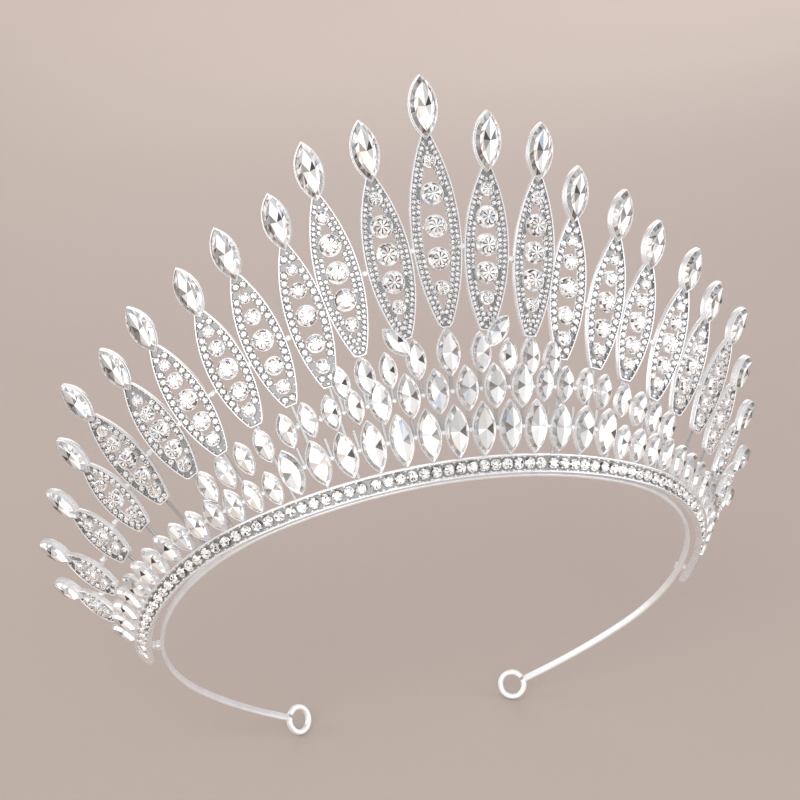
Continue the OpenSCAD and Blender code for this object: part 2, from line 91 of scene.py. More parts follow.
# petals from the middle outwards
PETAL_S = [0, 6, 15.3, 23.1, 30.2, 38, 46, 54, 62, 70, 79, 88.5, 98.5]
PETAL_LEAN = [0, 4, 3.5, 2.6, 5.5, 6, 9, 8.3, 8.7, 7.5, 9, 15, 14]
PETAL_TIP = [94.3, 85.7, 83.3, 73.8, 70.3, 65, 62, 56.6, 55.2, 46.5, 41, 38, 32.7]
PETAL_FOOT = [35.4, 34, 32.2, 27, 25.6, 24, 21.2, 19.5, 18, 16.2, 14.6, 13.2, 12]
TOP_L, TOP_STEP, TOP_RATIO = 15.2, 0.42, 0.47
PETAL_W = [12.1, 11.1, 10.6, 9.8, 10, 9.8, 9.5, 9.2, 9, 8.7, 8.4, 8, 7.6]
UNDER, FOOT_CUT = 3.6, 3.0
PLATE_T, RIM_H, RIM_T = 0.8, 1.35, 0.35
PAVE_SMALL, PAVE_LARGE = 1.2, 1.8
ROUND_BIG = 5.0
LINK_L = [1.8, 2.8, 0, 3.1, 1.8, 3.7, 2.1, 3.7, 3, 5.2, 7.2, 5.4]

# place and directions of the camera in the plane of the band
CAMERA_PLACE = (-96.35, -303.79, -201.11, 1.0)
CAMERA_RIGHT = (0.96722, -0.10741, -0.23009, 0.0)
CAMERA_AHEAD = (0.22511, 0.78197, 0.58125, 0.0)
CAMERA_UP = (0.11749, -0.61400, 0.78052, 0.0)


def sign(value):
    return (value > 0) - (value < 0)


def turn_x(angle):
    return np.array(Matrix.Rotation(angle, 4, "X"))


def turn_y(angle):
    return np.array(Matrix.Rotation(angle, 4, "Y"))


def turn_z(angle):
    return np.array(Matrix.Rotation(angle, 4, "Z"))


def shift(x, y, z):
    return np.array(Matrix.Translation((x, y, z)))


# ---------------------------------------------------------------- the band


class Crown:
    """Places along the base strip and on the sloping wall above it."""

    def __init__(self):
        self.th1 = FRONT_HALF / FRONT_RADIUS
        low, high = (np.array(c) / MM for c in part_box("strip_centre"))
        rim = np.array([0, -STRIP_RIM * math.sin(SLOPE), -STRIP_RIM * math.cos(SLOPE), 1])
        lip = rim + [0, -STRIP_W * math.cos(SLOPE), STRIP_W * math.sin(SLOPE), 0]
        tilt = turn_x(-WEAR_TILT)
        self.worn = shift(0, low[1] - (tilt @ rim)[1], high[2] - (tilt @ lip)[2]) @ tilt

    def turn(self, s):
        a = abs(s)
        front = min(a, FRONT_HALF) / FRONT_RADIUS
        return sign(s) * (front + max(a - FRONT_HALF, 0) / SIDE_RADIUS)

    def along(self, s):
        """Point of the strip's lower back edge at arc length s."""
        t = abs(self.turn(s))
        if abs(s) <= FRONT_HALF:
            return FRONT_RADIUS * math.sin(self.turn(s)), FRONT_RADIUS * (1 - math.cos(t))
        x = FRONT_RADIUS * math.sin(self.th1) + SIDE_RADIUS * (math.sin(t) - math.sin(self.th1))
        y = FRONT_RADIUS * (1 - math.cos(self.th1))
        return sign(s) * x, y + SIDE_RADIUS * (math.cos(self.th1) - math.cos(t))

    def spot(self, s, h, lean=0.0, out=0.0, spin=0.0):
        """Matrix at arc length s and height h: x along the strip, y up the wall, z outwards."""
        x, y = self.along(s)
        place = self.worn @ shift(x, y, 0) @ turn_z(self.turn(s)) @ turn_x(math.pi - SLOPE)
        return place @ turn_z(-lean) @ shift(0, h, out) @ turn_z(spin)

    def band_points(self, step=1.2):
        """Centre line of the right half of the headband with its directions, in the band plane."""
        off = BAND_T / 2 - 0.05
        x, y, t = 0.0, off, 0.0
        points = [(x, y, t)]
        arcs = ((FRONT_RADIUS - off, BAND_FRONT), (BAND_SIDE_RADIUS, BAND_SIDE), (ARM_RADIUS, ARM_LEN))
        for radius, length in arcs:
            n = max(2, round(length / step))
            x0, y0, t0 = x, y, t
            for i in range(1, n + 1):
                t = t0 + length / radius * i / n
                x = x0 + radius * (math.sin(t) - math.sin(t0))
                y = y0 + radius * (math.cos(t0) - math.cos(t))
                points.append((x, y, t))
        return points


crown = Crown()


# ---------------------------------------------------------------- mesh building


def pointed(length, width, inset=0.0, n=12):
    """Loop of a pointed ellipse drawn in by inset, n steps up the right side and n down the left."""
    r = (length * length + width * width) / (4 * width)
    c = r - width / 2
    a = math.acos(min(1.0, c / (r - inset)))
    right = []
    for i in range(n + 1):
        t = a * (2 * i / n - 1)
        right.append(((r - inset) * math.cos(t) - c, (r - inset) * math.sin(t)))
    return right + [(-x, -y) for x, y in right[1:-1]]


def ring(radius, n=24, start=0.0):
    steps = (start + 2 * math.pi * i / n for i in range(n))
    return [(radius * math.cos(t), radius * math.sin(t)) for t in steps]


def grey(tone, tint=(1.0, 1.0, 1.0)):
    return tuple(min(1.0, max(0.0, tone * c)) for c in tint)


class Piece:
    """Collects faces in millimetres and turns them into one object of the tiara."""

    def __init__(self):
        self.verts, self.faces, self.tones, self.count = [], [], [], 0
        # tone painted on new faces; below 1 it is painted shade
        self.tone = 1.0

    def add(self, verts, faces, place=None, tones=None):
        v = np.ones((len(verts), 4))
        v[:, :3] = verts
        if place is not None:
            v = v @ place.T
        self.verts.append(v[:, :3])
        self.faces.extend([tuple(i + self.count for i in f) for f in faces])
        self.tones.extend(tones if tones is not None else [grey(self.tone)] * len(faces))
        self.count += len(verts)

    def loops(self, rows, place=None, closed=True, caps=(False, False), deep=None):
        """Skin over a list of loops of (x, y, z), joined end to end if closed.

        deep(row, column) tells which faces lie in a recess and get the painted recess shade.
        """
        n = len(rows[0])
        verts = [p for row in rows for p in row]
        faces, tones = [], []
        last = len(rows) if closed else len(rows) - 1
        for j in range(last):
            k = (j + 1) % len(rows)
            for i in range(n):
                m = (i + 1) % n
                faces.append((j * n + i, j * n + m, k * n + m, k * n + i))
                # faces marked deep get the painted recess shade
                tones.append(grey(PAINTED_RECESS_SHADE if deep and deep(j, i) else self.tone))
        if caps[0]:
            faces.append(tuple(range(n - 1, -1, -1)))
        if caps[1]:
            faces.append(tuple((len(rows) - 1) * n + i for i in range(n)))
        tones += [grey(self.tone)] * (len(faces) - len(tones))
        self.add(verts, faces, place, tones)

    def wall(self, outline, profile, place=None, floor=None, deep=None):
        """Wall whose section is a list of (inset, height); outline(inset) gives its loop."""
        rows = [[(x, y, z) for x, y in outline(t)] for t, z in profile]
        self.loops(rows, place, closed=floor is None, deep=deep)
        if floor is not None:
            top, bottom = rows[-1], rows[0]
            n = len(top)
            self.add(top, [tuple(range(n))], place)
            self.add(bottom, [tuple(range(n - 1, -1, -1))], place)

    def bead(self, radius, place, height=0.8, n=8):
        """Small dome."""
        rows = [[(x, y, 0.0) for x, y in ring(radius, n)]]
        for a in (0.5, 1.0):
            rows.append([(x, y, radius * height * math.sin(a)) for x, y in ring(radius * math.cos(a), n)])
        self.loops(rows, place, closed=False, caps=(False, True))

    def block(self, size, place, bevel=0.12):
        """Box with broken edges, centred in x and y, standing on z = 0."""
        a, b, h = size[0] / 2, size[1] / 2, size[2]
        c = min(bevel, a * 0.45, b * 0.45, h * 0.45)

        def rim(d, z):
            return [(a - d, c - b, z), (a - d, b - c, z), (a - c, b - d, z), (c - a, b - d, z),
                    (d - a, b - c, z), (d - a, c - b, z), (c - a, d - b, z), (a - c, d - b, z)]

        rows = [rim(d, z) for d, z in ((c, 0), (0, c), (0, h - c), (c, h))]
        self.loops(rows, place, closed=False, caps=(True, True))

    def object(self, name, node, material, slot, smooth=40.0):
        """Makes the object, lets it ride on the body and hides the node that it stands for."""
        name = name.replace(" ", "-")
        verts = np.concatenate(self.verts) * MM
        mesh = bpy.data.meshes.new(name)
        mesh.from_pydata(verts.tolist(), [], self.faces)
        # the cut colour attribute carries painted light and shade: facet reflections on the stones, recess
        # shade on the metal
        if self.tones:
            layer = mesh.color_attributes.new("cut", "FLOAT_COLOR", "CORNER")
            sizes = [len(f) for f in self.faces]
            tones = np.ones((len(self.tones), 4), dtype=np.float32)
            tones[:, :3] = self.tones
            layer.data.foreach_set("color", np.repeat(tones, sizes, axis=0).ravel())
        mesh.materials.append(material)
        mesh.validate()
        if smooth:
            mesh.shade_smooth()
            mesh.set_sharp_from_angle(angle=math.radians(smooth))
        else:
            mesh.shade_flat()
        made = bpy.data.objects.new(name, mesh)
        bpy.context.scene.collection.objects.link(made)
        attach(made, "root")
        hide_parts(node)
        return made


# ---------------------------------------------------------------- cut stones


def shade(rng, tone, spread=0.08):
    """Painted reflection tone of one facet, with a chance of a painted coloured flash."""
    tone = tone + rng.uniform(-spread, spread)
    flash = rng.random()
    # dark painted reflections take a warm tint
    if tone < 0.3:
        return grey(tone, (1.25, 1.0, 0.88))
    if flash < 0.035:
        return grey(tone, (0.82, 0.92, 1.12))
    if flash < 0.06:
        return grey(tone, (1.08, 0.9, 0.95))
    if flash < 0.085:
        return grey(tone, (1.06, 0.98, 0.8))
    return grey(tone, (1.0, 0.988, 0.968))


def fan(piece, centre, edge, tones, place):
    """Triangles from a centre point to each step of an edge loop."""
    verts = [centre] + edge
    n = len(edge)
    faces = [(0, 1 + i, 1 + (i + 1) % n) for i in range(n)]
    piece.add(verts, faces, place, tones)


def facet_band(piece, low, high, tones, place):
    """Triangles between two loops with the same count."""
    n = len(low)
    faces, out = [], []
    for i in range(n):
        m = (i + 1) % n
        if i % 2:
            faces += [(i, m, n + m), (i, n + m, n + i)]
        else:
            faces += [(i, m, n + i), (m, n + m, n + i)]
        out += [tones[(2 * i) % len(tones)], tones[(2 * i + 1) % len(tones)]]
    piece.add(low + high, faces, place, out)


def navette(piece, rng, length, width, inset, seat, rise, place, n=8):
    """Boat-shaped stone: girdle, crown facets and a low four-sided roof over the table."""
    girdle = [(x, y, seat) for x, y in pointed(length, width, inset, n)]
    table_in = inset + width * 0.13
    table = [(x, y * 0.97, seat + rise * 0.8) for x, y in pointed(length, width, table_in, n)]
    mirrored = rng.random() < 0.12
    # painted reflections: the left crown facets are darker than the right, sometimes mirrored
    crown_tones = []
    for i in range(2 * n):
        left = (i >= n) != mirrored
        up = (n // 2) <= i < n + n // 2
        base = 0.58 if left else 0.9
        base += 0.1 if not up else 0.0
        crown_tones += [shade(rng, base, 0.2), shade(rng, base - 0.1, 0.24)]
    facet_band(piece, girdle, table, crown_tones, place)
    # painted reflections on the roof: dark wedges at the middle, lighter towards the ends
    mid = n // 2
    tones = []
    dark = rng.choice((0.05, 0.07, 0.1, 0.16, 0.3, 0.42))
    side = rng.choice((0.4, 0.62, 0.8, 0.25))
    top, low = rng.uniform(0.6, 0.92), rng.uniform(0.86, 1.0)
    for i in range(2 * n):
        right = i < n
        j = i if right else 2 * n - 1 - i
        if mirrored:
            right = not right
        if j in (mid - 1, mid):
            tone = dark if right else side
            tone *= 1.0 if j == mid else 1.35
            spread = 0.02
        elif j > mid:
            tone = top + (0.05 if right else -0.03)
            spread = 0.015
        else:
            tone = low if right else low - 0.07
            spread = 0.015
        tones.append(shade(rng, tone, spread))
    fan(piece, (width * 0.03, 0.0, seat + rise), table, tones, place)


def great_navette(piece, rng, length, width, inset, seat, rise, place):
    """Large boat-shaped stone with kite facets above and below the middle."""
    n = 12
    a, b = length / 2 - inset, width / 2 - inset
    girdle = [(x, y, seat) for x, y in pointed(length, width, inset, n)]
    table = [(x, y * 0.97, seat + rise * 0.6) for x, y in pointed(length, width, inset + width * 0.12, n)]
    # painted reflections: one half of the crown facets darker than the other
    crown_tones = []
    for i in range(2 * n):
        base = 0.5 if i >= n else 0.78
        crown_tones += [shade(rng, base, 0.3), shade(rng, base - 0.1, 0.3)]
    facet_band(piece, girdle, table, crown_tones, place)
    h = seat + rise * 0.85
    marks = [(0, -0.74 * a), (0.36 * b, -0.36 * a), (0.5 * b, 0.03 * a), (0.38 * b, 0.32 * a),
             (0, 0.74 * a), (-0.38 * b, 0.32 * a), (-0.5 * b, 0.0), (-0.36 * b, -0.36 * a)]
    inner = [(x, y, h) for x, y in marks]
    step = 2 * n // len(inner)
    # painted reflection tones of the kite facets
    wide = [(0.9, 0.8), (0.75, 0.4), (0.7, 0.1), (0.85, 0.6),
            (0.7, 0.45), (0.55, 0.2), (0.4, 0.25), (0.8, 0.7)]
    verts, faces, tones = inner + table, [], []
    count = len(inner)
    for i in range(count):
        k = (i + 1) % count
        base = count + i * step
        for j in range(step):
            nxt = count + (i * step + j + 1) % (2 * n)
            faces.append((i, base + j, nxt))
            tones.append(shade(rng, wide[i][j % 2], 0.16))
        faces.append((i, count + ((i + 1) * step) % (2 * n), k))
        tones.append(shade(rng, wide[i][0] - 0.08, 0.12))
    piece.add(verts, faces, place, tones)
    # painted reflections on the heart facets, some nearly black
    heart = [0.98, 0.8, 0.08, 0.7, 0.66, 0.1, 0.4, 0.88]
    tones = [shade(rng, t, 0.05) for t in heart]
    fan(piece, (0.02 * b, -0.02 * a, seat + rise), inner, tones, place)


def brilliant(piece, rng, diameter, seat, place, n=8, rise=0.3, spokes=False):
    """Round stone: girdle facets, kites, and a table with painted dark reflections as spokes or on a few
    facets; every facet tone is a painted reflection.
    """
    r = diameter / 2
    h = diameter * rise
    start = rng.uniform(0, math.pi)
    split = 0.3 * math.pi / n if spokes else 0.0
    low = [(x, y, seat) for x, y in ring(r, 2 * n, start)]
    mid = [(x, y, seat + h * 0.62) for x, y in ring(r * 0.84, 2 * n, start)]
    top = []
    for i in range(n):
        for t in (start + 2 * math.pi * i / n - split, start + 2 * math.pi * i / n + math.pi / n * 0.99):
            reach = r * (0.62 if spokes else 0.58)
            top.append((reach * math.cos(t), reach * math.sin(t), seat + h))
    heart = [(p[0] * 0.2, p[1] * 0.2, seat + h) for p in top]
    verts = low + mid + top + heart + [(0, 0, seat + h)]
    m0, t0, h0, c = 2 * n, 4 * n, 6 * n, 8 * n
    faces, tones = [], []
    for i in range(2 * n):
        k = (i + 1) % (2 * n)
        faces.append((i, k, m0 + k, m0 + i))
        tones.append(shade(rng, rng.choice((1.0, 0.75, 0.95, 0.2)), 0.08))
        faces += [(m0 + i, m0 + k, t0 + i), (m0 + k, t0 + k, t0 + i)]
        tones.append(shade(rng, rng.choice((1.0, 0.95, 0.8, 0.4)), 0.08))
        tones.append(shade(rng, rng.choice((1.0, 0.9, 0.6, 0.2)), 0.08))
        faces += [(t0 + i, t0 + k, h0 + k, h0 + i), (h0 + i, h0 + k, c)]
        if spokes:
            cut = rng.choice((0.06, 0.12, 0.25, 0.4)) if i % 2 else rng.choice((1.0, 0.95, 0.85))
        else:
            cut = rng.choice((1.0, 1.0, 0.92, 0.85, 0.08))
        tones += [shade(rng, cut, 0.05), shade(rng, 0.97, 0.03)]
    piece.add(verts, faces, place, tones)


# ---------------------------------------------------------------- shaders


class Signal:
    """Output socket of a shader node that can be used in sums."""

    def __init__(self, surface, socket):
        self.surface, self.socket = surface, socket

    def _sum(self, operation, first, second):
        values = {0: first, 1: second}
        return self.surface.node("ShaderNodeMath", {"operation": operation}, values)

    def __add__(self, other):
        return self._sum("ADD", self, other)

    def __radd__(self, other):
        return self._sum("ADD", other, self)

    def __sub__(self, other):
        return self._sum("SUBTRACT", self, other)

    def __rsub__(self, other):
        return self._sum("SUBTRACT", other, self)

    def __mul__(self, other):
        return self._sum("MULTIPLY", self, other)

    def __rmul__(self, other):
        return self._sum("MULTIPLY", other, self)

    def clamp(self, low=0.0, high=1.0):
        return self._sum("MAXIMUM", self._sum("MINIMUM", self, high), low)


class Surface:
    """One material with a single shader and a few helpers."""

    def __init__(self, name, **fixed):
        self.material = bpy.data.materials.new(name)
        self.material.use_nodes = True
        self.tree = self.material.node_tree
        self.shader = self.tree.nodes["Principled BSDF"]
        for socket, value in fixed.items():
            self.shader.inputs[socket.replace("_", " ")].default_value = value

    def node(self, kind, settings=None, values=None, out=0):
        """Any node: its type, its settings and the values or signals of its sockets."""
        made = self.tree.nodes.new(kind)
        for key, value in (settings or {}).items():
            setattr(made, key, value)
        for key, value in (values or {}).items():
            self.feed(made.inputs[key], value)
        return Signal(self, made.outputs[out])

    def feed(self, socket, value):
        if isinstance(value, Signal):
            self.tree.links.new(value.socket, socket)
        else:
            socket.default_value = value

    def noise(self, scale, detail=3.0, rough=0.55, where=None):
        values = {"Scale": scale, "Detail": detail, "Roughness": rough}
        values["Vector"] = where or self.place()
        return self.node("ShaderNodeTexNoise", {}, values)

    def place(self):
        return self.node("ShaderNodeTexCoord", {}, {}, out="Object")

    def stretch(self, scale):
        return self.node("ShaderNodeMapping", {}, {"Vector": self.place(), "Scale": scale})

    def blend(self, factor, first, second, mode="MIX"):
        settings = {"data_type": "RGBA", "blend_type": mode}
        values = {0: factor, 6: first, 7: second}
        return self.node("ShaderNodeMix", settings, values, out=2)

    def bump(self, height, strength, distance):
        values = {"Strength": strength, "Distance": distance, "Height": height}
        return self.node("ShaderNodeBump", {}, values)

    def set(self, socket, value):
        self.feed(self.shader.inputs[socket], value)


def metal(name, colour, rough, cast):
    """Bright plated metal: uneven gloss, faint cast or drawn marks, and painted shade in the recesses."""
    made = Surface(name, Metallic=0.5 if cast else 0.35)
    broad = made.noise(260.0, 4.0)
    fine = made.noise(2600.0, 3.0)
    drawn = made.noise(900.0, 2.0, where=made.stretch((1.0, 1.0, 14.0)))
    low = tuple(c * 0.86 for c in colour) + (1.0,)
    tone = made.blend((broad * 1.6 - 0.3).clamp(), low, tuple(colour) + (1.0,))
    # painted shade from the cut attribute darkens the base colour in the recesses
    painted_shade_attribute = made.node("ShaderNodeAttribute", {"attribute_name": "cut"}, {}, out="Color")
    made.set("Base Color", made.blend(1.0, tone, painted_shade_attribute, "MULTIPLY"))
    marks = fine if cast else drawn
    wide = 1.0 if cast else 0.35
    gloss = broad * (rough * wide) + rough * (0.9 - 0.5 * wide) + marks * rough * 0.6
    made.set("Roughness", gloss.clamp(0.03, 0.6))
    made.set("Normal", made.bump(marks, 0.025 if cast else 0.05, 0.00005))
    return made.material


def crystal(settings):
    """Foil-backed cut glass: each facet carries its painted reflection tone and the brightest facets a
    painted glow, under a sharp clear gloss.
    """
    made = Surface("cut crystal", Metallic=0.35, Coat_Weight=1.0, Coat_Roughness=0.02, Coat_IOR=1.58,
                   IOR=1.55)
    # the cut attribute holds the painted reflection tone of each facet
    cut = made.node("ShaderNodeAttribute", {"attribute_name": "cut"}, {}, out="Color")
    level = made.node("ShaderNodeAttribute", {"attribute_name": "cut"}, {}, out="Fac")
    cloud = made.noise(700.0, 3.0)
    dust = made.noise(5200.0, 2.0)
    soft = made.blend((cloud * 0.5).clamp(), (1.0, 1.0, 1.0, 1.0), (0.9, 0.91, 0.94, 1.0))
    made.set("Base Color", made.blend(1.0, cut, soft, "MULTIPLY"))
    made.set("Roughness", (0.05 + dust * 0.12).clamp(0.03, 0.3))
    made.set("Metallic", (0.75 - level * 0.35 + cloud * 0.1).clamp())
    # painted glow: the brightest facets emit light of their own tone
    glow = (level - 0.82).clamp() * settings.sparkle
    made.set("Emission Color", made.blend(glow.clamp(), (0.0, 0.0, 0.0, 1.0), cut))
    made.shader.inputs["Emission Strength"].default_value = 0.9
    return made.material


def paper(name, colour, scale):
    """Matt studio board with a faint grain."""
    made = Surface(name, Specular_IOR_Level=0.3)
    wide = made.noise(scale, 4.0)
    grain = made.noise(scale * 90, 3.0)
    light = tuple(min(1.0, c * 1.04) for c in colour) + (1.0,)
    deep = tuple(c * 0.965 for c in colour) + (1.0,)
    made.set("Base Color", made.blend(wide, deep, light))
    made.set("Roughness", (0.5 + grain * 0.25).clamp())
    made.set("Normal", made.bump(grain, 0.06, 0.0002))
    return made.material


MADE = {}


def finish_of(kind):
    """The three finishes of the tiara, made once each."""
    settings = bpy.context.scene.tiara
    if kind not in MADE:
        if kind == "crystal":
            MADE[kind] = crystal(settings)
        elif kind == "cast_metal":
            MADE[kind] = metal("rhodium cast metal", settings.metal_colour, settings.metal_rough, True)
        else:
            MADE[kind] = metal("plated spring strip", settings.metal_colour, 0.26, False)
    return MADE[kind]


# ---------------------------------------------------------------- settings


class TiaraSettings(bpy.types.PropertyGroup):
    """Choices that change the look and not the size."""

    # painted glow: how strongly the brightest facets emit light
    sparkle: FloatProperty(name="Sparkle", description="How strongly the brightest facets flash",
                           default=1.6, min=0.0, max=10.0)
    metal_colour: FloatVectorProperty(name="Metal colour", description="Colour of the plating",
                                      default=(0.93, 0.93, 0.94), subtype="COLOR", min=0.0, max=1.0)
    metal_rough: FloatProperty(name="Metal roughness", description="Roughness of the cast metal",
                               default=0.22, min=0.02, max=0.6)
    seed: IntProperty(name="Seed", description="Start of the facet tones", default=7, min=0)
    floor_colour: FloatVectorProperty(name="Floor colour", description="Colour of the studio floor",
                                      default=(0.47, 0.395, 0.355), subtype="COLOR", min=0.0, max=1.0)
    lamp_power: FloatProperty(name="Lamp power", description="Power of the main soft lamp",
                              default=10.0, min=0.0, unit="POWER")


# ---------------------------------------------------------------- base strip


def strip_piece(start, end, cap):
    """Stretch of channel strip from start to end with rounded rims and a rounded tongue."""
    piece = Piece()
    n = max(4, round(abs(end - start) / 1.1))
    r, t, w, f = STRIP_RIM, STRIP_RIM_T, STRIP_W, STRIP_FLOOR
    section = [(0.12, 0), (0, 0.14), (0, r - 0.2), (0.07, r - 0.05), (0.22, r), (t - 0.1, r - 0.04),
               (t, r - 0.2), (t + 0.32, f), (w - t - 0.32, f), (w - t, r - 0.2), (w - t + 0.1, r - 0.04),
               (w - 0.22, r), (w - 0.07, r - 0.05), (w, r - 0.2), (w, 0.14), (w - 0.12, 0)]
    rows = []
    for i in range(n + 1):
        s = start + (end - start) * i / n
        place = crown.spot(s, 0)
        rows.append([tuple((place @ (0, h, z, 1))[:3]) for h, z in reversed(section)])
    if end < start:
        rows.reverse()
    # painted shade: the channel floor under the stones (column 7) is darkened
    piece.loops(rows, closed=False, caps=(True, True), deep=lambda row, column: column == 7)
    # claws between the stones, two on each side
    lo, hi = sorted((start, end))
    for i in range(-40, 41):
        s = (i + 0.5) * CHANNEL_PITCH
        if lo + 1 < s < hi - 2:
            for h in (0.62, STRIP_W - 0.62):
                piece.bead(0.33, crown.spot(s, h, 0, STRIP_FLOOR + 0.45), 1.0)
                piece.wall(lambda q: ring(0.33 - q, 8), [(0, 0), (0, 0.48)],
                           crown.spot(s, h, 0, STRIP_FLOOR), floor=True)
    if cap:
        tongue = [(0.15, 0.06), (0, 0.2), (0, 1.2), (0.12, 1.42), (0.4, 1.52)]
        side = sign(end)
        piece.wall(lambda q: ring(STRIP_W / 2 + 0.12 - q, 32), tongue,
                   crown.spot(end + side * 0.3, STRIP_W / 2), floor=True)
    return piece


class TIARA_OT_base_strip(bpy.types.Operator):
    """Build the three castings of the base strip"""

    bl_idname = "tiara.base_strip"
    bl_label = "Base strip"

    def execute(self, context):
        cast = finish_of("cast_metal")
        a, b = CENTRE_HALF - STRIP_GAP / 2, CENTRE_HALF + STRIP_GAP / 2
        strip_piece(-a, a, False).object("strip centre", "strip_centre", cast, "cast_metal")
        strip_piece(b, STRIP_HALF, True).object("strip right", "strip_right", cast, "cast_metal")
        strip_piece(-b, -STRIP_HALF, True).object("strip left", "strip_left", cast, "cast_metal")
        return {"FINISHED"}


def channel_places():
    """Arc lengths of the channel stones of the middle and of one side."""
    middle = [CHANNEL_PITCH * i for i in range(-7, 8)]
    first = 8 * CHANNEL_PITCH + 0.6
    count = int((STRIP_HALF - 2.5 - first) / CHANNEL_PITCH) + 1
    return middle, [first + CHANNEL_PITCH * i for i in range(count)]


class TIARA_OT_strip_stones(bpy.types.Operator):
    """Set the round stones in the channel"""

    bl_idname = "tiara.strip_stones"
    bl_label = "Strip stones"

    def execute(self, context):
        rng = random.Random(context.scene.tiara.seed)
        middle, side = channel_places()
        groups = {"centre": middle, "right": side, "left": [-s for s in side]}
        for word, places in groups.items():
            piece = Piece()
            for s in places:
                brilliant(piece, rng, CHANNEL_STONE, STRIP_FLOOR + 0.25, crown.spot(s, STRIP_W / 2))
            piece.object("strip stones " + word, "strip_stones_" + word, finish_of("crystal"), "crystal", 0)
        return {"FINISHED"}


# ---------------------------------------------------------------- headband


def rounded(width, height, edge, n=3):
    """Section with rounded corners, width across and height up, as (across, up) points."""
    out = []
    for cx, cy, start in ((1, 1, 0), (-1, 1, 90), (-1, -1, 180), (1, -1, 270)):
        for i in range(n + 1):
            t = math.radians(start + 90 * i / n)
            out.append((cx * (width / 2 - edge) + edge * math.cos(t),
                        cy * (height / 2 - edge) + edge * math.sin(t)))
    return out


def eye_place(side):
    """Matrix of one ring eye: the ring lies in x and y, its opening faces the arm."""
    x, y, t = crown.band_points()[-1]
    reach = EYE_OUTER / 2 - EYE_T / 2 + 0.35
    centre = shift(x + reach * math.cos(t), y + reach * math.sin(t), BAND_Z)
    place = centre @ turn_z(t) @ turn_x(math.pi / 2 - EYE_TURN) @ turn_z(math.pi)
    flip = np.diag([side, 1.0, 1.0, 1.0])
    return crown.worn @ flip @ place


class TIARA_OT_headband(bpy.types.Operator):
    """Bend the headband strip with its ring eyes and end brackets"""

    bl_idname = "tiara.headband"
    bl_label = "Headband"

    def execute(self, context):
        steel = finish_of("spring_strip")
        half = crown.band_points()
        line = [(-x, y, -t) for x, y, t in reversed(half[1:])] + half
        section = rounded(BAND_T, BAND_W, 0.34)
        rows = []
        for x, y, t in line:
            place = crown.worn @ shift(x, y, BAND_Z) @ turn_z(t)
            rows.append([tuple((place @ (0, -across, up, 1))[:3]) for across, up in section])
        piece = Piece()
        piece.loops(rows[::-1], closed=False, caps=(True, True))
        piece.object("headband strip", "headband", steel, "spring_strip")
        for side, word in ((1, "right"), (-1, "left")):
            self.eye(side, word, steel)
            self.bracket(side, word, steel)
        return {"FINISHED"}

    def eye(self, side, word, steel):
        """Strip end rolled into a ring, with a small gap left at the joint."""
        place = eye_place(side)
        middle = (EYE_OUTER + EYE_BORE) / 4
        section = rounded((EYE_OUTER - EYE_BORE) / 2, EYE_T, 0.42, 4)
        rows = []
        n = 64
        for i in range(n + 1):
            t = math.radians((360 - EYE_OPEN) * i / n)
            rows.append([((middle + a) * math.cos(t), (middle + a) * math.sin(t), b) for a, b in section])
        if side > 0:
            rows.reverse()
        piece = Piece()
        piece.loops(rows, place, closed=False, caps=(True, True))
        piece.object(word + " ring eye", word + "_ring_eye", steel, "spring_strip")

    def bracket(self, side, word, steel):
        """Tab between the headband and the end of the strip."""
        s = side * (STRIP_HALF - 5)
        x, y = crown.along(s)
        place = crown.worn @ shift(x, y, 0) @ turn_z(crown.turn(s))
        piece = Piece()
        piece.block((2.3, 2.1, 1.85), place @ shift(0, 1.88, 0.07), 0.25)
        piece.block((1.5, 1.3, 1.8), place @ shift(0.4, 0.4, 0.1), 0.25)
        piece.object(word + " end bracket", word + "_end_bracket", steel, "spring_strip")


# ---------------------------------------------------------------- rows of navettes


def row_one():
    """Arc length, height and size of each cup of the first row, middle and right side."""
    out = [(6.0 * i, 11.0 if i < 4 else 10.8, NAV_FRONT if i < 4 else NAV) for i in range(7)]
    for i in range(14):
        s = 41.2 + 4.72 * i
        out.append((s, 8.9 - max(0.0, 0.012 * (s - 60)), NAV_S))
    return out


def row_two():
    out = []
    for i in range(11):
        s = 3 + 5.75 * i if i < 3 else 19.4 + 4.65 * (i - 3) if i < 7 else 38.7 + 4.75 * (i - 7)
        size = (NAV[0] - 0.6, NAV[1] - 0.2) if s < 17 else NAV_S
        out.append((s, 20.8 if s < 17 else 21.2 if s < 30 else 20.3 - 0.24 * (s - 33.4), size))
    return out


def row_three():
    lengths = (11.6, 10, 8.9, 10, 8.9)
    heights = (29.6, 28.9, 27.6, 27.4, 27.2)
    return [(s, h, (l, l * 0.49)) for s, h, l in zip((0, 6.2, 11.6, 16, 20.6), heights, lengths)]


def both_sides(row):
    """(s, h, lean, size) for the middle, the right and the left."""
    out = []
    for s, h, size in row:
        for side in (1, -1) if s else (1,):
            lean = math.radians(s * FAN)
            out.append((side * s, h, side * lean, size))
    return out


def cup(piece, length, width, place, height=CUP_H):
    """Stone cup with a stepped double rim."""
    h = height
    profile = [(0.08, 0), (0, 0.1), (0, h - 0.62), (0.04, h - 0.5), (0.1, h - 0.5), (0.13, h - 0.6),
               (0.15, h - 0.12), (0.19, h), (0.25, h - 0.02), (0.3, h - 0.2), (0.34, h - 0.5)]
    piece.wall(lambda q: pointed(length, width, q, 14), profile, place, floor=True)


